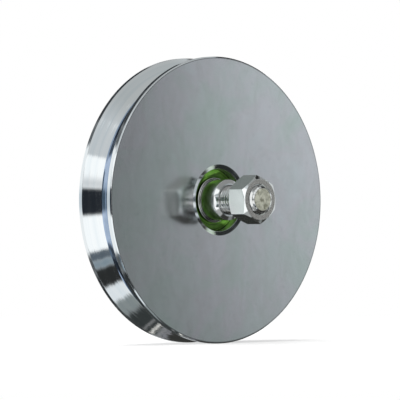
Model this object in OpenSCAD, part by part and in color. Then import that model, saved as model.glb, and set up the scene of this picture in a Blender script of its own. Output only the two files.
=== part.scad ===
// Sliding gate wheel: a steel disc with a V-groove rim, turning on one sealed ball bearing,
// with the bolt, nut and two spacers that carry it between the walls of a gate's bottom rail.
// Millimetres. The origin is the wheel's centre, it spins about Y, the nut side is -Y and +Z is up.

/* [Wheel] */
// Diameter over the rim
wheel_d = 160; // [120:1:200]
// Thickness between the two faces
wheel_t = 27; // [25:0.5:34]
// Chamfer on the rim's outer edges
rim_chamfer = 0.6; // [0.3:0.1:1.2]
// Width of the V-groove at the rim
groove_w = 21; // [16:0.5:22]
// Width of the flat at the bottom of the groove
groove_floor_w = 5; // [2:0.5:8]
// Angle between the groove's two sides, in degrees
groove_angle = 90; // [80:1:110]
// Distance that the lip at the front face stands in over the bearing's outer ring
lip_in = 2.5; // [1.8:0.1:2.8]
// Width of the shallow bevel round the hub hole at the front face
lip_bevel_w = 2.4; // [1:0.1:3]
// Depth of that bevel
lip_bevel_d = 0.5; // [0.2:0.1:1.5]
// Chamfer on the bearing seat's edge at the rear face
seat_chamfer = 0.8; // [0.4:0.1:1.2]

/* [Bearing] */
// Outer diameter of the outer ring
bearing_d = 40; // [39.6:0.1:42]
// Width of both rings
bearing_w = 16; // [14:0.5:17]
// Chamfer on the edges of both rings
bearing_chamfer = 0.5; // [0.3:0.1:0.6]
// Diameter of a ball, as a part of the distance from the bore to the outside of the bearing
ball_share = 0.567; // [0.53:0.001:0.58]
// Distance from the circle of ball centres to each ring's shoulder, as a part of the same distance
shoulder_share = 0.151; // [0.145:0.001:0.165]
// Depth of the step in the outer ring that takes a seal's edge, as a part of the same distance
seal_step_share = 0.147; // [0.13:0.001:0.15]
// Thickness of a seal
seal_t = 1.8; // [1.4:0.1:2]
// Distance from the rings' faces in to a seal's face
seal_inset = 0.5; // [0.4:0.1:0.8]
// Width of the raised bands at a seal's inner and outer edges
seal_band_w = 1.1; // [0.8:0.1:1.4]
// Depth of the dish between a seal's bands
seal_dish = 0.3; // [0.2:0.05:0.5]

/* [Ball cage] */
// Thickness of the cage's sheet
cage_sheet_t = 0.8; // [0.6:0.1:0.9]
// Diameter of a rivet's shank
rivet_d = 1.4; // [1.2:0.1:1.6]
// Diameter of a rivet's heads
rivet_head_d = 1.9; // [1.8:0.05:2.1]
// Height of a rivet's heads
rivet_head_h = 0.5; // [0.3:0.1:0.7]

/* [Retaining ring] */
// Thickness of the ring
clip_t = 1.75; // [1.5:0.05:2]
// Radial width of the ring
clip_w = 3.4; // [3:0.1:3.6]
// Depth of its groove below the bearing seat
clip_groove_depth = 1.25; // [1:0.05:1.5]
// Opening between the ends, in degrees
clip_gap_angle = 28; // [24:1:34]
// Width of each end's lug, in degrees
clip_lug_angle = 18; // [16:1:20]
// Radial width of a lug
clip_lug_w = 5.6; // [5.2:0.1:5.8]
// Diameter of the hole in a lug
clip_hole_d = 2.5; // [2:0.1:2.8]

/* [Axle] */
// Diameter of the bolt
bolt_d = 16; // [15:0.1:16.4]
// Width of the bolt's head across its flats
head_af = 24; // [23:0.1:25]
// Height of the bolt's head
head_h = 10; // [9:0.5:11]
// Angle of the bolt's head about the axle, in degrees
head_turn = 12; // [0:1:59]
// Chamfer at the bolt's end
bolt_tip_chamfer = 1.75; // [1:0.05:2]
// Length of bolt past the nut
bolt_out = 2; // [2:0.1:6]
// Width of the nut across its flats
nut_af = 23.7; // [23:0.1:25]
// Height of the nut
nut_h = 13; // [11:0.5:14]
// Angle of the nut about the axle, in degrees
nut_turn = 6.7; // [0:0.1:59]
// Diameter of the flat inside the corner chamfers of the nut and the head, as a part of the width across flats
hex_face_ratio = 0.95; // [0.9:0.01:0.98]
// Angle of those corner chamfers, in degrees
hex_chamfer_angle = 30; // [20:1:35]
// Depth of the countersink at each end of the nut's thread
nut_sink = 0.6; // [0.3:0.1:1]
// Space for the gate's wall between the front spacer and the nut
wall_space = 11.4; // [4:0.1:16]

/* [Spacers] */
// Distance from the inner ring's edge in to a spacer's outside
spacer_in = 0.9; // [0.5:0.05:1.2]
// Distance that a spacer's flange stands out past the inner ring's edge, in front of the seal's lip
flange_out = 0.3; // [0.2:0.1:1]
// Thickness of a spacer's flange, from the inner ring's face
flange_t = 1.8; // [1.2:0.1:4]
// Length that a spacer stands out of the wheel's face
spacer_out = 8.5; // [6:0.5:16]
// Width of the bevel on a spacer's outer end
spacer_bevel_w = 2.1; // [1:0.1:2.4]
// Depth of that bevel
spacer_bevel_d = 0.7; // [0.3:0.1:1.5]

/* [Fits] */
// Radial clearance of the outer ring in its seat
seat_clearance = 0.01; // [0.005:0.005:0.02]
// Clearance between a ball and both raceways
race_clearance = 0.08; // [0.05:0.01:0.1]
// Clearance between a ball and its pocket in the cage
pocket_clearance = 0.1; // [0.06:0.01:0.15]
// Clearance between the cage's ribbon and each ring's shoulder
cage_clearance = 0.55; // [0.4:0.05:0.7]
// Clearance between a seal's lip and the inner ring
lip_clearance = 0.08; // [0.05:0.01:0.1]
// Clearance of a seal's edge in its step
seal_clearance = 0.01; // [0.005:0.005:0.03]
// Radial clearance of a rivet's shank in the cage
rivet_clearance = 0.02; // [0.01:0.01:0.04]
// Side clearance of the retaining ring in its groove
clip_side_clearance = 0.1; // [0.05:0.01:0.15]
// Radial clearance of the retaining ring in its groove
clip_edge_clearance = 0.05; // [0.02:0.01:0.1]
// Radial clearance of the bolt in the inner ring
bore_clearance = 0.1; // [0.05:0.01:0.15]
// Radial clearance of the bolt in a spacer
spacer_clearance = 0.2; // [0.1:0.05:0.3]
// Radial clearance of the bolt's thread crests in the nut
thread_clearance = 0.02; // [0.01:0.01:0.04]

/* [Hidden] */
$fn = 96;

steel = [0.72, 0.73, 0.74];
bearing_steel = [0.62, 0.63, 0.65];
cage_steel = [0.66, 0.64, 0.58];
clip_steel = [0.25, 0.25, 0.27];
seal_green = [0.1, 0.5, 0.2];

ball_count = 8;
ball_step = 360 / ball_count;
hex_sides = 6;
hex_half_angle = 180 / hex_sides;
overlap = 1;

wheel_r = wheel_d / 2;
face_a = wheel_t / 2;
groove_depth = (groove_w - groove_floor_w) / 2 / tan(groove_angle / 2);
groove_floor_r = wheel_r - groove_depth;

bolt_r = bolt_d / 2;
bore_r = bolt_r + bore_clearance;
bearing_r = bearing_d / 2;
bearing_section = bearing_r - bore_r;
ring_a = bearing_w / 2;
pitch_r = (bearing_r + bore_r) / 2;
ball_r = ball_share * bearing_section / 2;
shoulder_gap = shoulder_share * bearing_section;
seal_step = seal_step_share * bearing_section;
lip_r = bearing_r - lip_in;
race_r = ball_r + race_clearance;
inner_shoulder_r = pitch_r - shoulder_gap;
outer_shoulder_r = pitch_r + shoulder_gap;
seal_step_r = outer_shoulder_r + seal_step;
seal_lip_r = inner_shoulder_r + lip_clearance;
seal_edge_r = seal_step_r - seal_clearance;
seal_out_a = ring_a - seal_inset;
seal_in_a = seal_out_a - seal_t;
seat_r = bearing_r + seat_clearance;

cage_in_r = inner_shoulder_r + cage_clearance;
cage_out_r = outer_shoulder_r - cage_clearance;
pocket_r = ball_r + pocket_clearance;
pocket_out_r = pocket_r + cage_sheet_t;
pocket_hole_r = (pocket_r + pocket_out_r) / 2;
rivet_r = rivet_d / 2;

clip_groove_r = seat_r + clip_groove_depth;
clip_groove_a = ring_a + clip_t + clip_side_clearance;
clip_out_r = clip_groove_r - clip_edge_clearance;
clip_in_r = clip_out_r - clip_w;
clip_lug_in_r = clip_out_r - clip_lug_w;
clip_hole_r = clip_hole_d / 2;
clip_hole_at_r = clip_lug_in_r + clip_lug_w / 2;

spacer_in_r = bolt_r + spacer_clearance;
spacer_r = inner_shoulder_r - spacer_in;
flange_r = inner_shoulder_r + flange_out;
flange_a = ring_a + flange_t;
spacer_a = face_a + spacer_out;
nut_a = spacer_a + wall_space;
nut_end_a = nut_a + nut_h;
tip_a = nut_end_a + bolt_out;
nut_bore_r = bolt_r + thread_clearance;

// Turns a piece built about Z onto the wheel's axle, with the piece's top to the nut side
module on_axle() {
    rotate([90, 0, 0]) children();
}

// Ring between two radii and two places along the axle
module tube(out_r, in_r, low_a, high_a) {
    translate([0, 0, low_a])
        difference() {
            cylinder(r = out_r, h = high_a - low_a);
            translate([0, 0, -overlap]) cylinder(r = in_r, h = high_a - low_a + 2 * overlap);
        }
}

// One copy for each ball, centred on that ball
module at_balls(turn = 0) {
    for (i = [0 : ball_count - 1])
        rotate([0, 0, i * ball_step + turn])
            translate([pitch_r, 0, 0])
                children();
}

// Hexagon with its corners chamfered at the top, and at the bottom too when both_ends is true
module hex_body(af, h, both_ends) {
    corner_r = af / 2 / cos(hex_half_angle);
    face_r = af / 2 * hex_face_ratio;
    drop = (corner_r - face_r) * tan(hex_chamfer_angle);
    low_r = both_ends ? face_r : corner_r;
    low_a = both_ends ? drop : 0;
    intersection() {
        rotate([0, 0, hex_half_angle]) cylinder(r = corner_r, h = h, $fn = hex_sides);
        rotate_extrude()
            polygon([[0, 0], [low_r, 0], [corner_r, low_a], [corner_r, h - drop], [face_r, h], [0, h]]);
    }
}

module wheel_disc() {
    color(steel)
        on_axle()
            rotate_extrude()
                polygon([
                    [lip_r, ring_a],
                    [lip_r, face_a - lip_bevel_d],
                    [lip_r + lip_bevel_w, face_a],
                    [wheel_r - rim_chamfer, face_a],
                    [wheel_r, face_a - rim_chamfer],
                    [wheel_r, groove_w / 2],
                    [groove_floor_r, groove_floor_w / 2],
                    [groove_floor_r, -groove_floor_w / 2],
                    [wheel_r, -groove_w / 2],
                    [wheel_r, rim_chamfer - face_a],
                    [wheel_r - rim_chamfer, -face_a],
                    [seat_r + seat_chamfer, -face_a],
                    [seat_r, seat_chamfer - face_a],
                    [seat_r, -clip_groove_a],
                    [clip_groove_r, -clip_groove_a],
                    [clip_groove_r, -ring_a],
                    [seat_r, -ring_a],
                    [seat_r, ring_a]
                ]);
}

module bearing_outer_ring() {
    color(bearing_steel)
        on_axle()
            rotate_extrude()
                difference() {
                    polygon([
                        [seal_step_r, ring_a],
                        [bearing_r - bearing_chamfer, ring_a],
                        [bearing_r, ring_a - bearing_chamfer],
                        [bearing_r, bearing_chamfer - ring_a],
                        [bearing_r - bearing_chamfer, -ring_a],
                        [seal_step_r, -ring_a],
                        [seal_step_r, -seal_in_a],
                        [outer_shoulder_r, -seal_in_a],
                        [outer_shoulder_r, seal_in_a],
                        [seal_step_r, seal_in_a]
                    ]);
                    translate([pitch_r, 0]) circle(r = race_r);
                }
}

module bearing_inner_ring() {
    color(bearing_steel)
        on_axle()
            rotate_extrude()
                difference() {
                    polygon([
                        [bore_r, ring_a - bearing_chamfer],
                        [bore_r + bearing_chamfer, ring_a],
                        [inner_shoulder_r, ring_a],
                        [inner_shoulder_r, -ring_a],
                        [bore_r + bearing_chamfer, -ring_a],
                        [bore_r, bearing_chamfer - ring_a]
                    ]);
                    translate([pitch_r, 0]) circle(r = race_r);
                }
}

// Ball number i, counted round from +X
module ball(i) {
    color(bearing_steel)
        on_axle()
            rotate([0, 0, i * ball_step])
                translate([pitch_r, 0, 0])
                    sphere(r = ball_r);
}

module bearing_ball_1() { ball(0); }
module bearing_ball_2() { ball(1); }
module bearing_ball_3() { ball(2); }
module bearing_ball_4() { ball(3); }
module bearing_ball_5() { ball(4); }
module bearing_ball_6() { ball(5); }
module bearing_ball_7() { ball(6); }
module bearing_ball_8() { ball(7); }

// Hollow dome over one ball, of the cage's sheet
module pocket_dome() {
    rotate_extrude()
        intersection() {
            difference() {
                circle(r = pocket_out_r);
                circle(r = pocket_r);
            }
            square(pocket_out_r + overlap);
        }
}

// Ribbon half above the ball centres: a flat ring with a domed pocket over each ball
module cage_half() {
    intersection() {
        tube(cage_out_r, cage_in_r, 0, pocket_out_r + overlap);
        union() {
            difference() {
                cylinder(r = cage_out_r + overlap, h = cage_sheet_t);
                at_balls()
                    translate([0, 0, -overlap])
                        cylinder(r = pocket_hole_r, h = cage_sheet_t + 2 * overlap);
                at_balls(ball_step / 2)
                    translate([0, 0, -overlap])
                        cylinder(r = rivet_r + rivet_clearance, h = cage_sheet_t + 2 * overlap);
            }
            at_balls() pocket_dome();
        }
    }
}

module cage_front_half() {
    color(cage_steel) on_axle() cage_half();
}

module cage_rear_half() {
    color(cage_steel) on_axle() mirror([0, 0, 1]) cage_half();
}

module cage_rivets() {
    color(cage_steel)
        on_axle()
            at_balls(ball_step / 2)
                rotate_extrude()
                    polygon([
                        [0, -cage_sheet_t - rivet_head_h],
                        [rivet_head_d / 2, -cage_sheet_t - rivet_head_h],
                        [rivet_head_d / 2, -cage_sheet_t],
                        [rivet_r, -cage_sheet_t],
                        [rivet_r, cage_sheet_t],
                        [rivet_head_d / 2, cage_sheet_t],
                        [rivet_head_d / 2, cage_sheet_t + rivet_head_h],
                        [0, cage_sheet_t + rivet_head_h]
                    ]);
}

// Rubber seal on the upper side: two raised bands with a shallow dish between them
module seal() {
    rotate_extrude()
        polygon([
            [seal_lip_r, seal_in_a],
            [seal_edge_r, seal_in_a],
            [seal_edge_r, seal_out_a],
            [seal_edge_r - seal_band_w, seal_out_a],
            [seal_edge_r - seal_band_w - seal_dish, seal_out_a - seal_dish],
            [seal_lip_r + seal_band_w + seal_dish, seal_out_a - seal_dish],
            [seal_lip_r + seal_band_w, seal_out_a],
            [seal_lip_r, seal_out_a]
        ]);
}

module seal_front() {
    color(seal_green) on_axle() seal();
}

module seal_rear() {
    color(seal_green) on_axle() mirror([0, 0, 1]) seal();
}

// Flat wedge with its point on the axle, opening upwards
module wedge(half_angle) {
    reach = 2 * clip_out_r;
    polygon([[0, 0], [reach * tan(half_angle), reach], [-reach * tan(half_angle), reach]]);
}

module retaining_ring() {
    color(clip_steel)
        on_axle()
            translate([0, 0, -ring_a - clip_t])
                linear_extrude(height = clip_t)
                    difference() {
                        circle(r = clip_out_r);
                        circle(r = clip_lug_in_r);
                        difference() {
                            circle(r = clip_in_r);
                            wedge(clip_gap_angle / 2 + clip_lug_angle);
                        }
                        wedge(clip_gap_angle / 2);
                        for (side = [-1, 1])
                            rotate(side * (clip_gap_angle + clip_lug_angle) / 2)
                                translate([0, clip_hole_at_r])
                                    circle(r = clip_hole_r);
                    }
}

// Spacer on the upper side, from its flange on the inner ring out past the wheel's face
module spacer() {
    rotate_extrude()
        polygon([
            [spacer_in_r, ring_a],
            [flange_r, ring_a],
            [flange_r, flange_a],
            [spacer_r, flange_a],
            [spacer_r, spacer_a - spacer_bevel_d],
            [spacer_r - spacer_bevel_w, spacer_a],
            [spacer_in_r, spacer_a]
        ]);
}

module spacer_front() {
    color(steel) on_axle() spacer();
}

module spacer_rear() {
    color(steel) on_axle() mirror([0, 0, 1]) spacer();
}

module axle_bolt() {
    color(steel)
        on_axle()
            union() {
                translate([0, 0, -spacer_a])
                    mirror([0, 0, 1])
                        rotate([0, 0, head_turn])
                            hex_body(head_af, head_h, false);
                rotate_extrude()
                    polygon([
                        [0, -spacer_a - overlap],
                        [bolt_r, -spacer_a - overlap],
                        [bolt_r, tip_a - bolt_tip_chamfer],
                        [bolt_r - bolt_tip_chamfer, tip_a],
                        [0, tip_a]
                    ]);
            }
}

module axle_nut() {
    color(steel)
        on_axle()
            translate([0, 0, nut_a])
                difference() {
                    rotate([0, 0, nut_turn]) hex_body(nut_af, nut_h, true);
                    rotate_extrude()
                        polygon([
                            [0, -overlap],
                            [nut_bore_r + nut_sink + overlap, -overlap],
                            [nut_bore_r, nut_sink],
                            [nut_bore_r, nut_h - nut_sink],
                            [nut_bore_r + nut_sink + overlap, nut_h + overlap],
                            [0, nut_h + overlap]
                        ]);
                }
}

wheel_disc();
bearing_outer_ring();
bearing_inner_ring();
bearing_ball_1();
bearing_ball_2();
bearing_ball_3();
bearing_ball_4();
bearing_ball_5();
bearing_ball_6();
bearing_ball_7();
bearing_ball_8();
cage_front_half();
cage_rear_half();
cage_rivets();
seal_front();
seal_rear();
retaining_ring();
spacer_front();
spacer_rear();
axle_bolt();
axle_nut();
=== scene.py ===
import math

import bpy
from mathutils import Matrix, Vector

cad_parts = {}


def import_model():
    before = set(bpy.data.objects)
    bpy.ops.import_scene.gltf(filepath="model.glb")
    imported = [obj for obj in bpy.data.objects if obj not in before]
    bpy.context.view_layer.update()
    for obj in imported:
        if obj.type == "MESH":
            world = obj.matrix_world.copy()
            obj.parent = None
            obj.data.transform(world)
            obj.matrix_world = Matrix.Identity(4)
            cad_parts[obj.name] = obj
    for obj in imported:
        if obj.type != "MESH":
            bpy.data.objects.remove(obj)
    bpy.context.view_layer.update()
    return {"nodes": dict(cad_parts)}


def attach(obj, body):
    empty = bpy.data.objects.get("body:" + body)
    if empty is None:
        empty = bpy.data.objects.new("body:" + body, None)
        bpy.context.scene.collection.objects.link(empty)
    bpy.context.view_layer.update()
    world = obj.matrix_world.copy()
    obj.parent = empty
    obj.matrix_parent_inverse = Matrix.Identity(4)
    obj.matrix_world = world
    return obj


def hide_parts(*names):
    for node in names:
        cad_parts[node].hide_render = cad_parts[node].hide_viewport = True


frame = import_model()
scene = bpy.context.scene
scene.view_settings.view_transform = "Standard"

MM = 0.001
TURN = 2 * math.pi

# Sizes of the part, in millimetres and degrees. "a" is the place along the axle,
# counted from the wheel's middle towards the nut.
WHEEL_R = 80
FACE_A = 13.5
RIM_CHAMFER = 0.6
GROOVE_HALF = 10.5
GROOVE_FLOOR_R = 72
GROOVE_FLOOR_HALF = 2.5
GROOVE_DISH = 0.3
LIP_R = 17.5
LIP_BEVEL_W = 2.4
LIP_BEVEL_D = 0.5
RING_A = 8
SEAT_R = 20.01
SEAT_CHAMFER = 0.8
CLIP_GROOVE_R = 21.26
CLIP_GROOVE_A = 9.85
SEAL_LIP_R = 12.333
SEAL_EDGE_R = 17.586
SEAL_OUT_A = 7.5
SEAL_IN_A = 5.7
SEAL_BAND = 1.1
SEAL_DISH = 0.3
SPACER_R = 11.353
FLANGE_R = 12.553
FLANGE_A = 9.8
SPACER_IN_R = 8.2
SPACER_A = 22
SPACER_BEVEL_W = 2.1
SPACER_BEVEL_D = 1
BOLT_R = 8
TIP_A = 48.4
TIP_CHAMFER = 1.75
NUT_A = 33.4
NUT_END_A = 46.4
NUT_AF = 23.7
NUT_TURN = 6.7
NUT_BORE_R = 8.02
NUT_SINK = 0.6
HEAD_AF = 24
HEAD_END_A = -32
HEAD_TURN = 12
HEX_FACE_RATIO = 0.95
HEX_CHAMFER = math.tan(math.radians(30))
THREAD_PITCH = 2
THREAD_DEPTH = 1.227
THREAD_FROM_A = 11.4
THREAD_RUN_OUT = 3
TIP_PLAIN = 0.5

# Edge roundings, in millimetres
HEX_CORNER = 0.45
HEX_EDGE = 0.16
TIP_EDGE = 0.12
LIP_ROUND = 0.2
FACE_ROUND = 1
RIM_ROUND = 0.12
FLANK_ROUND = 0.22
FLOOR_FRONT_ROUND = 0.5
FLOOR_REAR_ROUND = 1.6
FLOOR_DISH_ROUND = 8
SEAL_BACK_ROUND = 0.1
SEAL_RIM_ROUND = 0.2
SEAL_BAND_ROUND = 0.14
SPACER_ROUND = 0.15
FLANGE_ROUND = 0.4
FLANGE_ROOT_ROUND = 0.2

# Fineness of the meshes
WHEEL_SEGMENTS = 480
SMALL_SEGMENTS = 192
BOLT_SEGMENTS = 96
THREAD_ROWS = 16
ARC_STEP = 12
ARC_LEAST_STEPS = 3
HEX_ARC_STEPS = 5
NUT_FLAT_STEPS = 14
HEAD_FLAT_STEPS = BOLT_SEGMENTS // 6 - HEX_ARC_STEPS


# Surfaces: rings of points joined by strips of faces, with a normal for every corner

class Surface:
    """A mesh in the making, in millimetres about the axle."""

    def __init__(self):
        self.points = []
        self.faces = []
        self.normals = []
        self.parts = []

    def ring(self, points):
        """Adds points of (x, up, a) and returns their numbers."""
        start = len(self.points)
        self.points.extend(Vector((x, -a, up)) for x, up, a in points)
        return list(range(start, len(self.points)))

    def face(self, corners, normals, part):
        """Adds one face, wound so that it looks along its normals, without repeated corners."""
        kept = []
        for corner, normal in zip(corners, normals):
            if corner not in [c for c, _ in kept]:
                kept.append((corner, normal))
        if len(kept) < 3:
            return
        spots = [self.points[c] for c, _ in kept]
        flat = (spots[1] - spots[0]).cross(spots[2] - spots[0])
        if len(spots) == 4:
            flat = (spots[2] - spots[0]).cross(spots[3] - spots[1])
        facing = sum((Vector(n) for _, n in kept), Vector())
        if flat.dot(facing) < 0:
            kept.reverse()
        self.faces.append([c for c, _ in kept])
        self.normals.extend(n for _, n in kept)
        self.parts.append(part)

    def strip(self, low, high, low_normals, high_normals, part=0):
        """Joins two rings. A ring of one point is a pole on the axle."""
        count = max(len(low), len(high))
        for i in range(count):
            j = (i + 1) % count
            corners = [low[i % len(low)], low[j % len(low)],
                       high[j % len(high)], high[i % len(high)]]
            normals = [low_normals[i], low_normals[j], high_normals[j], high_normals[i]]
            self.face(corners, normals, part)

    def piece(self, name, materials, body, replaced, slot):
        """The finished object, riding on its body in place of its CAD node."""
        mesh = bpy.data.meshes.new(name)
        mesh.from_pydata([p * MM for p in self.points], [], self.faces)
        for m in materials:
            mesh.materials.append(m)
        for polygon, part in zip(mesh.polygons, self.parts):
            polygon.material_index = part
            polygon.use_smooth = True
        mesh.normals_split_custom_set([tuple(Vector(n).normalized()) for n in self.normals])
        obj = bpy.data.objects.new(name, mesh)
        scene.collection.objects.link(obj)
        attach(obj, body)
        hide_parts(replaced)


def circle(radius, a, turns):
    return [(radius * math.cos(t), radius * math.sin(t), a) for t in turns]


def leaning(out, along, turns):
    """Normals round the axle with an outward part and a part along the axle."""
    return [(out * math.cos(t), -along, out * math.sin(t)) for t in turns]


def even_turns(count):
    return [TURN * i / count for i in range(count)]


def rounded(outline):
    """Runs of a closed turned profile, with rounded corners.

    A corner is (radius, a, rounding, part of what follows, part of the rounding if that differs).
    """
    count = len(outline)
    spots = [Vector(c[:2]) for c in outline]
    area = sum(p.x * spots[(i + 1) % count].y - spots[(i + 1) % count].x * p.y
               for i, p in enumerate(spots))
    side = 1 if area > 0 else -1

    def normal(i):
        along = (spots[(i + 1) % count] - spots[i]).normalized()
        return Vector((along.y, -along.x)) * side

    ends = [[p, p] for p in spots]
    arcs = {}
    for i in range(count):
        rounding = outline[i][2]
        if not rounding:
            continue
        before, after = normal(i - 1), normal(i)
        angle = before.angle(after)
        cut = rounding * math.tan(angle / 2)
        back = (spots[i - 1] - spots[i]).normalized()
        on = (spots[(i + 1) % count] - spots[i]).normalized()
        ends[i] = [spots[i] + back * cut, spots[i] + on * cut]
        bulge = 1 if before.dot(on) < 0 else -1
        centre = ends[i][0] - before * rounding * bulge
        steps = max(ARC_LEAST_STEPS, math.ceil(math.degrees(angle) / ARC_STEP))
        fan = [before.slerp(after, k / steps) for k in range(steps + 1)]
        arcs[i] = [(centre + n * rounding * bulge, n) for n in fan]
    runs = []
    for i in range(count):
        j = (i + 1) % count
        if i in arcs:
            for (p, n), (q, m) in zip(arcs[i], arcs[i][1:]):
                runs.append((p, q, n, m, outline[i][-1]))
        runs.append((ends[i][1], ends[j][0], normal(i), normal(i), outline[i][3]))
    return runs


def lathe(outline, segments):
    """A turned surface."""
    surface = Surface()
    turns = even_turns(segments)
    rings = {}

    def ring(p):
        key = (round(p.x, 6), round(p.y, 6))
        if key not in rings:
            rings[key] = surface.ring(circle(p.x, p.y, turns))
        return rings[key]

    for p, q, n, m, part in rounded(outline):
        surface.strip(ring(p), ring(q), leaning(n.x, n.y, turns), leaning(m.x, m.y, turns), part)
    return surface


def hexagon(af, turn, flat_steps):
    """Points round a hexagon with rounded corners, as (x, up, normal's angle)."""
    reach = (af / 2 - HEX_CORNER) / math.cos(math.pi / 6)
    points = []
    for side in range(6):
        facing = math.radians(turn) + side * math.pi / 3
        first = facing - math.pi / 6
        last = facing + math.pi / 6
        start = (reach * math.cos(first), reach * math.sin(first))
        end = (reach * math.cos(last), reach * math.sin(last))
        push = (HEX_CORNER * math.cos(facing), HEX_CORNER * math.sin(facing))
        for k in range(flat_steps):
            f = k / flat_steps
            points.append((start[0] + (end[0] - start[0]) * f + push[0],
                           start[1] + (end[1] - start[1]) * f + push[1], facing))
        for k in range(HEX_ARC_STEPS):
            angle = facing + math.pi / 3 * k / HEX_ARC_STEPS
            points.append((end[0] + HEX_CORNER * math.cos(angle),
                           end[1] + HEX_CORNER * math.sin(angle), angle))
    return points


def hex_end(surface, outline, face_r, end_a, up, wall_ring, wall_normals):
    """Chamfered end of a hexagon, from the wall's ring to the flat end.

    Returns the ring round the flat end, its normals and its turns.
    """
    turns = [math.atan2(y, x) for x, y, _ in outline]
    edge = [(x, y, end_a - up * (math.hypot(x, y) - face_r) * HEX_CHAMFER)
            for x, y, _ in outline]
    low = surface.ring([(x, y, a - up * HEX_EDGE) for x, y, a in edge])
    surface.strip(wall_ring, low, wall_normals, wall_normals)
    inset = []
    for x, y, a in edge:
        keep = 1 - HEX_EDGE / math.hypot(x, y)
        inset.append((x * keep, y * keep, a + up * HEX_EDGE * HEX_CHAMFER))
    high = surface.ring(inset)
    cone = leaning(HEX_CHAMFER, up, turns)
    surface.strip(low, high, wall_normals, cone)
    outer_a = end_a - up * HEX_EDGE / 2 * HEX_CHAMFER
    outer = surface.ring(circle(face_r + HEX_EDGE / 2, outer_a, turns))
    surface.strip(high, outer, cone, cone)
    inner = surface.ring(circle(face_r - HEX_EDGE / 2, end_a, turns))
    flat = leaning(0, up, turns)
    surface.strip(outer, inner, cone, flat)
    return inner, flat, turns


def hex_wall(surface, outline, a):
    """One ring on a hexagon's sides, with its normals."""
    ring = surface.ring([(x, y, a) for x, y, _ in outline])
    return ring, leaning(1, 0, [angle for _, _, angle in outline])


# Materials: node trees in the part's own coordinates, so that they turn with the wheel

class Nodes:
    """Short calls for building one material."""

    def __init__(self, name):
        self.material = bpy.data.materials.new(name)
        self.material.use_nodes = True
        self.tree = self.material.node_tree
        self.shader = self.tree.nodes["Principled BSDF"]
        self.place = self.add("ShaderNodeTexCoord").outputs["Object"]

    def add(self, kind, **values):
        node = self.tree.nodes.new(kind)
        for key, value in values.items():
            setattr(node, key, value)
        return node

    def link(self, source, target):
        self.tree.links.new(source, target)

    def set(self, **values):
        for key, value in values.items():
            self.shader.inputs[key.replace("_", " ")].default_value = value

    def scaled(self, scale):
        node = self.add("ShaderNodeVectorMath", operation="MULTIPLY")
        self.link(self.place, node.inputs[0])
        node.inputs[1].default_value = scale
        return node.outputs[0]

    def radius(self):
        """Distance from the axle."""
        node = self.add("ShaderNodeVectorMath", operation="LENGTH")
        self.link(self.scaled((1, 0, 1)), node.inputs[0])
        return node.outputs["Value"]

    def rings(self, across, along, drift):
        """Coordinates that hardly change round the axle: radius, place along it, a little drift."""
        mixed = self.add("ShaderNodeCombineXYZ")
        apart = self.add("ShaderNodeSeparateXYZ")
        self.link(self.place, apart.inputs[0])
        sources = ((self.radius(), across, 0), (apart.outputs[1], along, 1))
        for source, factor, target in sources:
            times = self.add("ShaderNodeMath", operation="MULTIPLY")
            self.link(source, times.inputs[0])
            times.inputs[1].default_value = factor
            self.link(times.outputs[0], mixed.inputs[target])
        joined = self.add("ShaderNodeVectorMath", operation="ADD")
        self.link(mixed.outputs[0], joined.inputs[0])
        self.link(self.scaled((drift, drift, drift)), joined.inputs[1])
        return joined.outputs[0]

    def noise(self, vector, scale, detail=3, rough=0.5, distortion=0):
        node = self.add("ShaderNodeTexNoise")
        self.link(vector, node.inputs["Vector"])
        node.inputs["Scale"].default_value = scale
        node.inputs["Detail"].default_value = detail
        node.inputs["Roughness"].default_value = rough
        node.inputs["Distortion"].default_value = distortion
        return node.outputs["Fac"]

    def ramp(self, source, *stops):
        node = self.add("ShaderNodeValToRGB")
        marks = node.color_ramp.elements
        while len(marks) < len(stops):
            marks.new(0.5)
        for mark, (place, colour) in zip(marks, stops):
            mark.position = place
            mark.color = (*colour, 1)
        self.link(source, node.inputs[0])
        return node.outputs["Color"]

    def span(self, source, low, high, start=0.3, end=0.7):
        """Turns a noise into a number between low and high."""
        node = self.add("ShaderNodeMapRange")
        self.link(source, node.inputs["Value"])
        node.inputs["From Min"].default_value = start
        node.inputs["From Max"].default_value = end
        node.inputs["To Min"].default_value = low
        node.inputs["To Max"].default_value = high
        return node.outputs["Result"]

    def shaded(self, colour, shade, share=1):
        """A colour multiplied by a shade, in full or in part."""
        node = self.add("ShaderNodeMix", data_type="RGBA", blend_type="MULTIPLY")
        node.inputs["Factor"].default_value = share
        self.link(colour, node.inputs["A"])
        self.link(shade, node.inputs["B"])
        return node.outputs["Result"]

    def painted_shade_rings(self, colour, *marks):
        """A colour with painted shade: dark rings round the axle where shadow falls in creases and
        at edges.

        A mark is (radius in millimetres, share of the colour left).
        """
        first, last = marks[0][0], marks[-1][0]
        across = self.span(self.radius(), 0, 1, first * MM, last * MM)
        stops = [((radius - first) / (last - first), (share, share, share))
                 for radius, share in marks]
        return self.shaded(colour, self.ramp(across, *stops))

    def bump(self, *layers):
        """Layers of (height, distance in millimetres, strength), each laid over the one before."""
        below = None
        for height, distance, strength in layers:
            node = self.add("ShaderNodeBump")
            node.inputs["Distance"].default_value = distance * MM
            node.inputs["Strength"].default_value = strength
            self.link(height, node.inputs["Height"])
            if below:
                self.link(below, node.inputs["Normal"])
            below = node.outputs["Normal"]
        self.link(below, self.shader.inputs["Normal"])

    def colour(self, source):
        self.link(source, self.shader.inputs["Base Color"])

    def roughness(self, source):
        self.link(source, self.shader.inputs["Roughness"])


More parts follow.
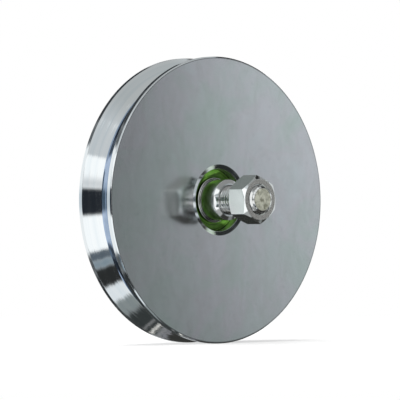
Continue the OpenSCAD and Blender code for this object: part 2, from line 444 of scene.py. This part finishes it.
def zinc_face():
    """Flat plated face: satin, faintly cloudy, with a trace of the blue passivation's colours."""
    n = Nodes("zinc_face")
    clouds = n.noise(n.place, 26, 4, 0.55, 0.6)
    tint = n.ramp(clouds, (0.32, (0.66, 0.735, 0.705)), (0.46, (0.705, 0.74, 0.74)),
                  (0.56, (0.745, 0.735, 0.765)), (0.7, (0.735, 0.765, 0.785)))
    specks = n.noise(n.place, 420, 2, 0.6)
    shade = n.ramp(specks, (0.28, (0.91, 0.92, 0.92)), (0.4, (1, 1, 1)))
    smears = n.noise(n.scaled((95, 95, 48)), 1, 6, 0.6, 1.2)
    wiped = n.ramp(smears, (0.3, (0.94, 0.94, 0.925)), (0.6, (1, 1, 1)))
    plate = n.shaded(n.shaded(tint, shade, 0.5), wiped)
    # Painted shade: the face's colour darkens towards its outer edge, from 78.8 to 79.4 mm, as a
    # painted dark rim.
    n.colour(n.painted_shade_rings(plate, (78.8, 1), (79.1, 0.55), (79.4, 0.3)))
    n.set(Metallic=1.0)
    n.roughness(n.span(n.noise(n.place, 60, 5, 0.6), 0.11, 0.16))
    waves = n.noise(n.place, 75, 2, 0.5)
    grain = n.noise(n.place, 900, 3, 0.6)
    n.bump((waves, 0.035, 0.4), (grain, 0.006, 0.35))
    return n.material


def zinc_turned():
    """Turned and plated rim: bright, with fine rings left by the tool."""
    n = Nodes("zinc_turned")
    marks = n.noise(n.rings(2200, 2200, 3), 1, 3, 0.6)
    broad = n.noise(n.rings(420, 420, 9), 1, 3, 0.55)
    n.colour(n.ramp(broad, (0.3, (0.76, 0.81, 0.84)), (0.5, (0.83, 0.86, 0.88)),
                    (0.7, (0.87, 0.89, 0.9))))
    n.set(Metallic=1.0)
    n.roughness(n.span(broad, 0.025, 0.07))
    n.bump((marks, 0.02, 0.5), (broad, 0.08, 0.6))
    return n.material


def zinc_part(name, low, high, rough_low, rough_high, ring_scale, wear):
    """Bright plated small part."""
    n = Nodes(name)
    clouds = n.noise(n.place, 150, 4, 0.6)
    n.colour(n.ramp(clouds, (0.3, low), (0.7, high)))
    n.set(Metallic=1.0)
    n.roughness(n.span(n.noise(n.place, 300, 3, 0.6), rough_low, rough_high))
    marks = n.noise(n.rings(ring_scale, ring_scale, 20), 1, 3, 0.6)
    dents = n.noise(n.place, 260, 3, 0.5)
    n.bump((marks, 0.01, wear), (dents, 0.03, wear))
    return n.material


def bolt_end():
    """Bare end of the bolt: dull, slightly yellow, with the rough marks of the cut."""
    n = Nodes("bolt_end")
    blotch = n.noise(n.place, 420, 4, 0.65)
    n.colour(n.ramp(blotch, (0.36, (0.4, 0.395, 0.3)), (0.5, (0.72, 0.715, 0.59)),
                    (0.64, (0.97, 0.965, 0.83))))
    n.set(Metallic=0.85)
    n.roughness(n.span(blotch, 0.42, 0.6))
    pits = n.noise(n.place, 1500, 3, 0.6)
    cuts = n.noise(n.rings(1800, 1800, 30), 1, 2)
    n.bump((pits, 0.06, 0.6), (cuts, 0.05, 0.4))
    return n.material


def nut_end():
    """Outer end of the nut: plated over the saw's marks, so duller and warmer than its flats."""
    n = Nodes("nut_end")
    blotch = n.noise(n.place, 520, 4, 0.65)
    n.colour(n.ramp(blotch, (0.3, (0.52, 0.49, 0.45)), (0.5, (0.64, 0.61, 0.57)),
                    (0.7, (0.75, 0.72, 0.68))))
    n.set(Metallic=1.0)
    n.roughness(n.span(blotch, 0.2, 0.34))
    cuts = n.noise(n.rings(1400, 1400, 24), 1, 3)
    grain = n.noise(n.place, 900, 3, 0.6)
    n.bump((cuts, 0.04, 0.4), (grain, 0.03, 0.4))
    return n.material


def rubber_green():
    """Moulded nitrile rubber of the bearing's seals."""
    n = Nodes("rubber_green")
    cloud = n.noise(n.place, 300, 4, 0.6)
    green = n.ramp(cloud, (0.3, (0.078, 0.19, 0.025)), (0.55, (0.106, 0.25, 0.035)),
                   (0.75, (0.148, 0.32, 0.053)))
    # Painted shade: dark rings at the seal's creases and lip, darkest at its outer edge under the
    # hub's lip, where shadow falls.
    n.colour(n.painted_shade_rings(green, (12.3, 0.7), (13.2, 1), (13.6, 0.5), (14, 0.85), (14.8, 1),
                      (16.1, 1), (16.35, 0.6), (16.6, 0.95), (17.2, 0.85), (17.4, 0.35),
                      (17.6, 0.15)))
    n.set(Specular_IOR_Level=0.2)
    n.roughness(n.span(n.noise(n.place, 900, 3, 0.6), 0.26, 0.42))
    rings = n.noise(n.rings(2600, 2600, 12), 1, 2, 0.5)
    n.bump((rings, 0.02, 0.4), (n.noise(n.place, 2200, 2), 0.01, 0.4))
    return n.material


def plain_steel(name, low, high, rough_low, rough_high, scale, bump):
    """Bearing steel, pressed sheet or spring steel."""
    n = Nodes(name)
    cloud = n.noise(n.place, scale, 4, 0.6)
    n.colour(n.ramp(cloud, (0.3, low), (0.7, high)))
    n.set(Metallic=1.0)
    n.roughness(n.span(n.noise(n.place, scale * 3, 3, 0.6), rough_low, rough_high))
    n.bump((n.noise(n.rings(2400, 2400, 25), 1, 3, 0.6), 0.012, bump))
    return n.material


FACE = zinc_face()
TURNED = zinc_turned()
SPACER = zinc_part("spacer_zinc", (0.76, 0.78, 0.79), (0.86, 0.87, 0.87), 0.16, 0.24, 2600, 0.5)
SPACER_END = zinc_part("spacer_end", (0.84, 0.86, 0.86), (0.92, 0.93, 0.93), 0.03, 0.07, 2600, 0.08)
BOLT = zinc_part("bolt_zinc", (0.72, 0.73, 0.72), (0.85, 0.85, 0.84), 0.1, 0.18, 2000, 0.25)
NUT = zinc_part("nut_zinc", (0.89, 0.925, 0.915), (0.96, 0.985, 0.98), 0.03, 0.08, 900, 0.18)
BOLT_END = bolt_end()
NUT_END = nut_end()
RUBBER = rubber_green()
BORE = plain_steel("bore_zinc", (0.62, 0.63, 0.6), (0.8, 0.81, 0.78), 0.32, 0.45, 250, 0.4)
# Painted shade: the groove's floor is coloured dark blue to stand in for the shade and dark
# reflections in the bottom of the groove.
GROOVE_SHADED = plain_steel("groove_zinc_painted_shade", (0.31, 0.4, 0.53), (0.41, 0.5, 0.66), 0.08, 0.14, 180, 0.3)
FLANGE = plain_steel("flange_steel", (0.05, 0.043, 0.033), (0.085, 0.075, 0.06), 0.2, 0.3, 500, 0.4)
BEARING = plain_steel("bearing_steel", (0.6, 0.59, 0.56), (0.7, 0.69, 0.66), 0.14, 0.22, 250, 0.3)
BALL = plain_steel("ball_steel", (0.72, 0.73, 0.74), (0.78, 0.79, 0.8), 0.03, 0.06, 400, 0.02)
CAGE = plain_steel("cage_steel", (0.6, 0.57, 0.5), (0.7, 0.67, 0.6), 0.25, 0.36, 300, 0.3)
SPRING = plain_steel("spring_steel", (0.1, 0.1, 0.11), (0.17, 0.17, 0.18), 0.32, 0.45, 500, 0.4)


# Pieces

def wheel_disc():
    """The disc: plated faces, turned rim, the hub hole's wall and the groove's dished floor, whose
    dark blue colour is painted shade.
    """
    face, turned, wall, bed = range(4)
    finishes = [FACE, TURNED, BORE, GROOVE_SHADED]
    outline = [
        (LIP_R, RING_A, LIP_ROUND, wall),
        (LIP_R, FACE_A - LIP_BEVEL_D, LIP_ROUND, turned),
        (LIP_R + LIP_BEVEL_W, FACE_A, FACE_ROUND, face),
        (WHEEL_R - RIM_CHAMFER, FACE_A, RIM_ROUND, turned),
        (WHEEL_R, FACE_A - RIM_CHAMFER, RIM_ROUND, turned),
        (WHEEL_R, GROOVE_HALF, FLANK_ROUND, turned),
        (GROOVE_FLOOR_R, GROOVE_FLOOR_HALF, FLOOR_FRONT_ROUND, bed),
        (GROOVE_FLOOR_R - GROOVE_DISH, 0, FLOOR_DISH_ROUND, bed),
        (GROOVE_FLOOR_R, -GROOVE_FLOOR_HALF, FLOOR_REAR_ROUND, turned, bed),
        (WHEEL_R, -GROOVE_HALF, FLANK_ROUND, turned),
        (WHEEL_R, RIM_CHAMFER - FACE_A, RIM_ROUND, turned),
        (WHEEL_R - RIM_CHAMFER, -FACE_A, RIM_ROUND, face),
        (SEAT_R + SEAT_CHAMFER, -FACE_A, RIM_ROUND, turned),
        (SEAT_R, SEAT_CHAMFER - FACE_A, RIM_ROUND, turned),
        (SEAT_R, -CLIP_GROOVE_A, 0, turned),
        (CLIP_GROOVE_R, -CLIP_GROOVE_A, 0, turned),
        (CLIP_GROOVE_R, -RING_A, 0, turned),
        (SEAT_R, -RING_A, 0, turned),
        (SEAT_R, RING_A, 0, turned),
    ]
    surface = lathe(outline, WHEEL_SEGMENTS)
    surface.piece("wheel", finishes, "wheel", "wheel_disc", "wheel_zinc")


def seal(name, side, node):
    """Moulded seal: two raised bands, a dish between them and a lip at the inner ring."""
    back_a = side * SEAL_IN_A
    front_a = side * SEAL_OUT_A
    dish_a = side * (SEAL_OUT_A - SEAL_DISH)
    outline = [
        (SEAL_LIP_R, back_a, SEAL_BACK_ROUND, 0),
        (SEAL_EDGE_R, back_a, SEAL_BACK_ROUND, 0),
        (SEAL_EDGE_R, front_a, SEAL_RIM_ROUND, 0),
        (SEAL_EDGE_R - SEAL_BAND, front_a, SEAL_BAND_ROUND, 0),
        (SEAL_EDGE_R - SEAL_BAND - SEAL_DISH, dish_a, SEAL_BAND_ROUND, 0),
        (SEAL_LIP_R + SEAL_BAND + SEAL_DISH, dish_a, SEAL_BAND_ROUND, 0),
        (SEAL_LIP_R + SEAL_BAND, front_a, SEAL_BAND_ROUND, 0),
        (SEAL_LIP_R, front_a, SEAL_RIM_ROUND, 0),
    ]
    lathe(outline, SMALL_SEGMENTS).piece(name, [RUBBER], "wheel", node, "seal_rubber")


def spacer(name, side, node):
    """Turned spacer tube, with a dull flange at the bearing and a bright bevelled outer end."""
    tube, flange, bevel = range(3)
    finishes = [SPACER, FLANGE, SPACER_END]
    outline = [
        (SPACER_IN_R, side * RING_A, SPACER_ROUND, tube),
        (FLANGE_R, side * RING_A, SPACER_ROUND, flange),
        (FLANGE_R, side * FLANGE_A, FLANGE_ROUND, flange, tube),
        (SPACER_R, side * FLANGE_A, FLANGE_ROOT_ROUND, tube),
        (SPACER_R, side * (SPACER_A - SPACER_BEVEL_D), SPACER_ROUND, bevel),
        (SPACER_R - SPACER_BEVEL_W, side * SPACER_A, SPACER_ROUND, tube),
        (SPACER_IN_R, side * SPACER_A, SPACER_ROUND, tube),
    ]
    lathe(outline, SMALL_SEGMENTS).piece(name, finishes, "axle", node, "spacer_zinc")


def nut():
    """Hexagon nut, chamfered at both ends, with a countersunk bore and a duller outer end."""
    bright, dull = range(2)
    surface = Surface()
    outline = hexagon(NUT_AF, NUT_TURN, NUT_FLAT_STEPS)
    face_r = NUT_AF / 2 * HEX_FACE_RATIO
    middle, wall_normals = hex_wall(surface, outline, (NUT_A + NUT_END_A) / 2)
    bore = {}
    for end_a, up, part in ((NUT_END_A, 1, dull), (NUT_A, -1, bright)):
        rim, flat, turns = hex_end(surface, outline, face_r, end_a, up, middle, wall_normals)
        sink = surface.ring(circle(NUT_BORE_R + NUT_SINK, end_a, turns))
        surface.strip(rim, sink, flat, flat, part)
        cone = leaning(-1, up, turns)
        bore[up] = surface.ring(circle(NUT_BORE_R, end_a - up * NUT_SINK, turns))
        surface.strip(sink, bore[up], cone, cone)
    inward = leaning(-1, 0, turns)
    surface.strip(bore[1], bore[-1], inward, inward)
    surface.piece("nut", [NUT, NUT_END], "axle", "axle_nut", "nut_zinc")


def thread_cut(phase):
    """Share of the thread's full depth at a place in one pitch, from 0 to 1.

    The crest is flat, the flanks are straight and the root is rounded.
    """
    crest = 1 / 16
    root = 3 / 8
    flank_share = 0.93
    from_crest = min(phase, 1 - phase)
    if from_crest <= crest:
        return 0
    if from_crest < root:
        return (from_crest - crest) / (root - crest) * flank_share
    root_share = 1 - flank_share
    return flank_share + root_share * math.sin((from_crest - root) / (0.5 - root) * math.pi / 2)


def bolt():
    """Hexagon-head bolt with its thread cut as a true helix: plated, but for its bare end."""
    plated, bare = range(2)
    count = BOLT_SEGMENTS
    rows = THREAD_ROWS
    turns = even_turns(count)
    surface = Surface()
    tip_from = TIP_A - TIP_CHAMFER
    cone_from = TIP_A - TIP_PLAIN
    total = math.ceil((cone_from - THREAD_FROM_A) / THREAD_PITCH * rows) + 1

    def thread_point(i, k):
        a = THREAD_FROM_A + (k - rows + rows * i / count) * THREAD_PITCH / rows
        a = min(max(a, THREAD_FROM_A), cone_from)
        phase = (k % rows) / rows
        depth = THREAD_DEPTH * min(1, (a - THREAD_FROM_A) / THREAD_RUN_OUT)
        radius = min(BOLT_R - depth * thread_cut(phase), BOLT_R - max(0, a - tip_from))
        return (radius * math.cos(turns[i]), radius * math.sin(turns[i]), a)

    def key_of(spot):
        return tuple(round(v, 5) for v in spot)

    numbers = {}
    known = {}
    for k in range(total + 2 * rows):
        for i in range(count):
            spot = thread_point(i, k)
            key = key_of(spot)
            if key not in known:
                known[key] = surface.ring([spot])[0]
            numbers[i, k] = known[key]

    def number(i, k):
        return numbers[i, k] if i < count else numbers[0, k + rows]

    def normal(i, k):
        """Mean slope of the thread's surface between one row and the next."""
        low = surface.points[number(i, k)]
        high = surface.points[number(i, k + 1)]
        rise = math.hypot(high.x, high.z) - math.hypot(low.x, low.z)
        run = low.y - high.y
        t = TURN * i / count
        if run > 0:
            return (run * math.cos(t), rise, run * math.sin(t))
        return (math.cos(t), 0, math.sin(t))

    for k in range(total + rows - 1):
        for i in range(count):
            corners = [number(i, k), number(i + 1, k), number(i + 1, k + 1), number(i, k + 1)]
            near, far = normal(i, k), normal(i + 1, k)
            surface.face(corners, [near, far, far, near], plated)

    def joined(radius, a):
        """The thread's own points on a circle where it ends."""
        return [known[key_of(spot)] for spot in circle(radius, a, turns)]

    cone = leaning(1, 1, turns)
    flat = leaning(0, 1, turns)
    end_r = BOLT_R - TIP_CHAMFER
    outer = surface.ring(circle(end_r + TIP_EDGE, TIP_A - TIP_EDGE, turns))
    surface.strip(joined(BOLT_R - (cone_from - tip_from), cone_from), outer, cone, cone)
    rim = surface.ring(circle(end_r - TIP_EDGE, TIP_A, turns))
    surface.strip(outer, rim, cone, flat)
    surface.strip(rim, surface.ring([(0, 0, TIP_A)]), flat, flat, bare)

    outward = leaning(1, 0, turns)
    neck = surface.ring(circle(BOLT_R, -SPACER_A, turns))
    surface.strip(joined(BOLT_R, THREAD_FROM_A), neck, outward, outward)
    outline = hexagon(HEAD_AF, HEAD_TURN, HEAD_FLAT_STEPS)
    seat, wall_normals = hex_wall(surface, outline, -SPACER_A)
    hex_turns = [math.atan2(y, x) for x, y, _ in outline]
    under = leaning(0, 1, hex_turns)
    first = hex_turns[0]
    shift = min(range(count), key=lambda s: abs(math.remainder(turns[s] - first, TURN)))
    neck = neck[shift:] + neck[:shift]
    surface.strip(neck, seat, under, under)
    face_r = HEAD_AF / 2 * HEX_FACE_RATIO
    rim, flat, _ = hex_end(surface, outline, face_r, HEAD_END_A, -1, seat, wall_normals)
    surface.strip(rim, surface.ring([(0, 0, HEAD_END_A)]), flat, flat)
    surface.piece("bolt", [BOLT, BOLT_END], "axle", "axle_bolt", "bolt_zinc")


wheel_disc()
seal("front_seal", 1, "seal_front")
seal("rear_seal", -1, "seal_rear")
spacer("front_spacer", 1, "spacer_front")
spacer("rear_spacer", -1, "spacer_rear")
nut()
bolt()

# Nodes that keep their CAD shape and only get a material
KEPT = {"bearing_outer_ring": BEARING, "bearing_inner_ring": BEARING, "cage_front_half": CAGE,
        "cage_rear_half": CAGE, "cage_rivets": CAGE, "retaining_ring": SPRING}
KEPT.update({f"bearing_ball_{i}": BALL for i in range(1, 9)})
for node_name, finish in KEPT.items():
    for holder in frame["nodes"][node_name].material_slots:
        holder.material = finish


# Studio: a white floor, soft lamps, and a tent that only mirror-like surfaces see

def stage_material(name, build):
    """A stage material whose tree is filled by build(tree, output)."""
    m = bpy.data.materials.new(name)
    m.use_nodes = True
    m.node_tree.nodes.clear()
    output = m.node_tree.nodes.new("ShaderNodeOutputMaterial")
    build(m.node_tree, output)
    return m


def tent_tree(tree, output):
    """Light of the colour held at each point of the tent."""
    paint = tree.nodes.new("ShaderNodeVertexColor")
    paint.layer_name = "glow"
    glow = tree.nodes.new("ShaderNodeEmission")
    tree.links.new(paint.outputs["Color"], glow.inputs["Color"])
    tree.links.new(glow.outputs[0], output.inputs["Surface"])


def smooth(x, start, end):
    """Soft step from 0 to 1."""
    f = min(1, max(0, (x - start) / (end - start)))
    return f * f * (3 - 2 * f)


def window(x, low, high, soft):
    """1 between low and high, 0 outside, with soft edges."""
    return smooth(x, low - soft, low + soft) * (1 - smooth(x, high - soft, high + soft))


def mixed(colour, paint, share):
    return tuple(c + (p - c) * share for c, p in zip(colour, paint))


# Panels of the tent: azimuth from the front towards +X, elevation and half the width of the soft
# edges, in degrees, and brightness. A later panel covers an earlier one.
WHITE = (1.08, 1.1, 1.1)
PANELS = [
    ((-181, 181), (-91, 91), 1, (0.62, 0.64, 0.65)),
    ((-110, 110), (26, 91), 1, (0.6, 0.63, 0.645)),
    ((-110, 110), (55, 91), 12, (0.47, 0.49, 0.49)),
    ((0, 80), (27, 53), 3, (0.27, 0.275, 0.275)),
    ((42, 82), (39.5, 53), 1.5, (0.02, 0.02, 0.02)),
    ((-110, 16), (-30.5, 26), 1, WHITE),
    ((-110, 28), (19, 26), 1.5, WHITE),
    ((-68, -56.5), (7, 18), 2, (0.2, 0.21, 0.22)),
    ((-56.5, -46), (7, 13), 3, (0.7, 0.72, 0.73)),
    ((-68, -49.5), (-8.8, 7), 1.3, (0.02, 0.024, 0.03)),
    ((-46, -41.5), (-6, 5), 0.7, (0.25, 0.26, 0.265)),
    ((-31, -17), (-14, 14), 1.5, (0.13, 0.135, 0.14)),
    ((-41.5, -26), (-13, 5), 0.4, (0.13, 0.135, 0.14)),
    ((-5, 12), (-14, 14), 4, (0.5, 0.52, 0.53)),
    ((12, 50), (-30, 19), 2, (0.022, 0.025, 0.024)),
    ((54, 86), (-24, 24), 2, (0.06, 0.06, 0.055)),
    ((60, 90), (-2.5, 3.5), 1, (1, 1.02, 1)),
    ((49.5, 57.5), (-18, -11.5), 1.2, (0.6, 0.7, 0.56)),
    ((49.5, 57.5), (12.5, 19), 1.2, (0.5, 0.6, 0.46)),
    ((-110, 110), (-36, -30.5), 1, (0.11, 0.135, 0.16)),
    ((-110, 110), (-40.7, -36), 1.4, (0.24, 0.3, 0.34)),
    ((-110, 110), (-52.5, -40.7), 1, (0.028, 0.03, 0.03)),
    ((-110, 0), (-62, -52.5), 1, (0.82, 0.86, 0.88)),
    ((-110, 0), (-70, -62), 1, (0.25, 0.28, 0.28)),
    ((-181, 181), (-91, -70), 1, (0.04, 0.045, 0.045)),
    ((0, 110), (-70, -25), 2, (0.04, 0.04, 0.037)),
    ((-4, 19), (-41, -23), 2, (0.36, 0.37, 0.37)),
    ((51, 66), (-39, -30), 2, (0.2, 0.21, 0.21)),
    ((49, 54), (-75, -66), 1.5, (0.95, 0.92, 0.86)),
    ((30, 37), (-77, -68), 1.5, (0.2, 0.2, 0.2)),
    ((63, 67), (-73, -63), 1, (0.3, 0.3, 0.31)),
    ((70, 75), (-71, -61), 1, (0.28, 0.28, 0.3)),
    ((-43, -27), (35, 48), 2, (1, 1.02, 1.02)),
    ((-29, 2), (52, 61), 2, (1, 1.02, 1.02)),
    ((3, 46), (62, 69), 2, (0.9, 0.92, 0.92)),
    ((82, 112), (27, 53.5), 1.5, (0.012, 0.012, 0.014)),
    ((-181, -115), (-28, 28), 2, (0.95, 0.97, 0.97)),
    ((-160, -129), (-6, 6), 4, (0.6, 0.66, 0.7)),
    ((-129, -104), (-7, 7), 2, (0.14, 0.185, 0.205)),
    ((-104, -66), (-8, 21), 2, (0.14, 0.175, 0.19)),
    ((-181, -112), (28, 37), 2, (0.13, 0.14, 0.145)),
    ((-181, -112), (37, 91), 2, (0.05, 0.055, 0.06)),
    ((-181, -112), (-36, -28), 2, (0.1, 0.11, 0.115)),
    ((-181, -112), (-91, -36), 2, (0.035, 0.04, 0.042)),
    ((128, 181), (-30, 30), 8, (0.4, 0.41, 0.42)),
    ((112, 128), (-30, 30), 4, (0.12, 0.125, 0.13)),
    ((112, 181), (30, 91), 2, (0.04, 0.045, 0.05)),
    ((112, 181), (-91, -30), 2, (0.05, 0.055, 0.055)),
]


# The grey sweep on the nut side that the wheel's face mirrors: where it is, and how bright
SWEEP_AZIMUTHS = (31, 53)
SWEEP_ELEVATIONS = (-11, 13)
SWEEP_SIDE_SOFT = 3
SWEEP_END_SOFT = 1.5
SWEEP_DARK = 0.225
SWEEP_RISE = 0.315
SWEEP_EDGE_RISE = 0.4
SWEEP_SLOPE = 0.011
SWEEP_TINT = (0.957, 1.022, 1.062)


def sweep_glow(azimuth, elevation):
    """Brightness of the sweep: it grows to the right, and upwards on the right."""
    slope = SWEEP_SLOPE * smooth(azimuth, 36, 43)
    level = SWEEP_DARK + SWEEP_RISE * smooth(azimuth, 34, 49)
    level += slope * max(-12, min(14, elevation))
    level += SWEEP_EDGE_RISE * smooth(azimuth, 49.5, 52)
    return tuple(level * tint for tint in SWEEP_TINT)


def glow_row(elevation, azimuths):
    """Brightness along one row of the tent."""
    row = [(1, 1, 1)] * len(azimuths)
    for (left, right), (low, high), soft, paint in PANELS:
        level = window(elevation, low, high, soft)
        if level == 0:
            continue
        for i, azimuth in enumerate(azimuths):
            share = level * window(azimuth, left, right, soft)
            if share > 0:
                row[i] = mixed(row[i], paint, share)
    level = window(elevation, *SWEEP_ELEVATIONS, SWEEP_END_SOFT)
    for i, azimuth in enumerate(azimuths):
        share = level * window(azimuth, *SWEEP_AZIMUTHS, SWEEP_SIDE_SOFT)
        if share > 0:
            row[i] = mixed(row[i], sweep_glow(azimuth, elevation), share)
    return row


def tent(radius, step, turn):
    """Sphere with its brightness as a colour at each point, turned a little about the upright."""
    columns = round(360 / step)
    rows = round(180 / step)
    points, colours, faces = [], [], []
    azimuths = [-180 + column * step for column in range(columns + 1)]
    for row in range(rows + 1):
        elevation = -90 + row * step
        e = math.radians(elevation)
        for azimuth in azimuths:
            a = math.radians(azimuth + turn)
            points.append((radius * math.cos(e) * math.sin(a),
                           -radius * math.cos(e) * math.cos(a), radius * math.sin(e)))
        colours.extend(glow_row(elevation, azimuths))
    for row in range(rows):
        for column in range(columns):
            first = row * (columns + 1) + column
            faces.append((first, first + 1, first + columns + 2, first + columns + 1))
    mesh = bpy.data.meshes.new("tent")
    mesh.from_pydata(points, [], faces)
    layer = mesh.color_attributes.new("glow", "FLOAT_COLOR", "POINT")
    for item, colour in zip(layer.data, colours):
        item.color = (*colour, 1)
    material = stage_material("tent", tent_tree)
    material.cycles.emission_sampling = "NONE"
    mesh.materials.append(material)
    obj = bpy.data.objects.new("tent", mesh)
    scene.collection.objects.link(obj)
    obj.visible_camera = False
    obj.visible_diffuse = False
    obj.visible_shadow = False
    obj.visible_transmission = False


def floor_tree(tree, output):
    """White floor that takes the shadow near the wheel and is plain white further out."""
    matte = tree.nodes.new("ShaderNodeBsdfDiffuse")
    matte.inputs["Color"].default_value = (0.95, 0.95, 0.95, 1)
    glow = tree.nodes.new("ShaderNodeEmission")
    place = tree.nodes.new("ShaderNodeTexCoord")
    distance = tree.nodes.new("ShaderNodeVectorMath")
    distance.operation = "LENGTH"
    tree.links.new(place.outputs["Object"], distance.inputs[0])
    fade = tree.nodes.new("ShaderNodeMapRange")
    fade.interpolation_type = "SMOOTHSTEP"
    fade.inputs["From Min"].default_value = 0.12
    fade.inputs["From Max"].default_value = 0.55
    fade.inputs["To Min"].default_value = 0.6
    fade.inputs["To Max"].default_value = 1
    tree.links.new(distance.outputs["Value"], fade.inputs["Value"])
    both = tree.nodes.new("ShaderNodeMixShader")
    tree.links.new(fade.outputs["Result"], both.inputs[0])
    tree.links.new(matte.outputs[0], both.inputs[1])
    tree.links.new(glow.outputs[0], both.inputs[2])
    tree.links.new(both.outputs[0], output.inputs["Surface"])


def floor(level, reach):
    mesh = bpy.data.meshes.new("floor")
    corners = [(-reach, -reach, level), (reach, -reach, level),
               (reach, reach, level), (-reach, reach, level)]
    mesh.from_pydata(corners, [], [(0, 1, 2, 3)])
    mesh.materials.append(stage_material("floor", floor_tree))
    obj = bpy.data.objects.new("floor", mesh)
    scene.collection.objects.link(obj)
    obj.visible_glossy = False


def world(soft_light):
    """White for what the camera and mirrors see, a softer level for the light on matte surfaces."""
    w = bpy.data.worlds.new("studio")
    scene.world = w
    w.use_nodes = True
    tree = w.node_tree
    back = tree.nodes["Background"]
    path = tree.nodes.new("ShaderNodeLightPath")
    seen = path.outputs["Is Camera Ray"]
    for other in ("Is Glossy Ray", "Is Transmission Ray"):
        either = tree.nodes.new("ShaderNodeMath")
        either.operation = "MAXIMUM"
        tree.links.new(seen, either.inputs[0])
        tree.links.new(path.outputs[other], either.inputs[1])
        seen = either.outputs[0]
    level = tree.nodes.new("ShaderNodeMapRange")
    level.inputs["To Min"].default_value = soft_light
    level.inputs["To Max"].default_value = 1
    tree.links.new(seen, level.inputs["Value"])
    back.inputs["Color"].default_value = (1, 1, 1, 1)
    tree.links.new(level.outputs["Result"], back.inputs["Strength"])


def lamp(name, place, size, watts):
    """Round lamp that looks at the wheel's middle and isn't mirrored."""
    data = bpy.data.lights.new(name, "AREA")
    data.shape = "DISK"
    data.size = size
    data.energy = watts
    obj = bpy.data.objects.new(name, data)
    obj.location = place
    obj.rotation_euler = (-Vector(place)).to_track_quat("-Z", "Y").to_euler()
    obj.visible_glossy = False
    obj.visible_camera = False
    scene.collection.objects.link(obj)


def camera(azimuth, elevation, distance, lens, shift):
    """Camera that looks at the wheel's middle. The shift is in pixels of the photograph's frame."""
    data = bpy.data.cameras.new("camera")
    data.lens = lens
    data.sensor_width = 36
    data.shift_x, data.shift_y = (pixels / FRAME_WIDTH for pixels in shift)
    obj = bpy.data.objects.new("camera", data)
    a, e = math.radians(azimuth), math.radians(elevation)
    back = Vector((math.sin(a) * math.cos(e), -math.cos(a) * math.cos(e), math.sin(e)))
    obj.location = back * distance
    obj.rotation_euler = (-back).to_track_quat("-Z", "Y").to_euler()
    scene.collection.objects.link(obj)
    scene.camera = obj


FRAME_WIDTH = 400
tent(radius=0.7, step=1, turn=-0.58)
floor(level=-WHEEL_R * MM, reach=12)
world(soft_light=0.25)
lamp("key", place=(-0.14, -0.08, -0.065), size=0.012, watts=0.52)
lamp("top", place=(-0.2, 0.15, 2), size=1.6, watts=60)
camera(azimuth=-42.5, elevation=-0.7, distance=1.635, lens=262.35, shift=(-3.088, 0.246))
